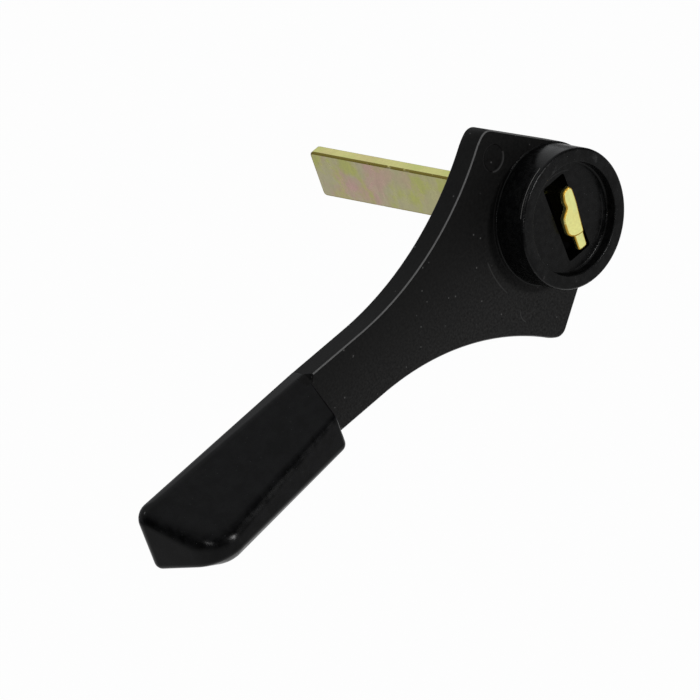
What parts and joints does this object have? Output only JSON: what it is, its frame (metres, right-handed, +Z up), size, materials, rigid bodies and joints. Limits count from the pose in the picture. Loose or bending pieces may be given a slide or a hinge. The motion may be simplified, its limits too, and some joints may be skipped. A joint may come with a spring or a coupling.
{
  "type": "sliding door latch lever",
  "caption": "Black die-cast latch lever for a sliding glass door, with a round pivot hub, eared plate, bevelled thumb grip and a flat floating tailpiece.",
  "frame": {"origin": "on the pivot axis, on the plate face that the hub stands on", "axes": "-Y along the pivot axis to the room side, +Y into the door along the tailpiece, arm along -X, +Z up"},
  "size_m": [0.0729, 0.0425, 0.0272],
  "materials": {
    "black_casting": "black coated zinc casting, satin on the grip and fine-grained on the plate",
    "yellow_zinc": "yellow chromated zinc on flat steel"
  },
  "bodies": {
    "lever": {"lever": "black_casting"},
    "tailpiece": {"tailpiece": "yellow_zinc"}
  },
  "joints": [
    {"name": "tail_float", "type": "hinge", "parent": "lever", "child": "tailpiece", "pos_m": [0, 0, 0], "axis": [0, 1, 0], "range_deg": [-6, 6]}
  ]
}
